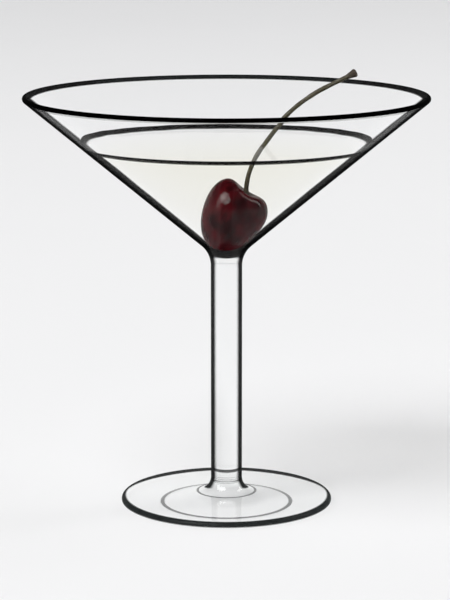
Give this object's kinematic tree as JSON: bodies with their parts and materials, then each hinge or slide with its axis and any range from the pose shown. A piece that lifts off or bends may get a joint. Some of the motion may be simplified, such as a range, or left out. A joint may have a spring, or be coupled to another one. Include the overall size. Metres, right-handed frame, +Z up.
{
  "type": "martini cocktail",
  "caption": "Cocktail in a wide cone-shaped glass on a slim stem and round foot, with a stalked cherry standing in the drink.",
  "frame": {"origin": "on the glass's axis, at the plane the foot stands on", "axes": "+Z up along the glass's axis; +X is the way the cherry's stalk leans; -Y is the side looked at"},
  "size_m": [0.136, 0.136, 0.1482],
  "materials": {
    "glass": "polished clear glass",
    "drink": "clear, faintly straw-coloured liquid",
    "cherry": "glossy dark red skin",
    "stalk": "satin green-brown"
  },
  "bodies": {
    "root": {"glass": "glass", "drink": "drink", "cherry": "cherry", "stalk": "stalk"}
  },
  "joints": []
}
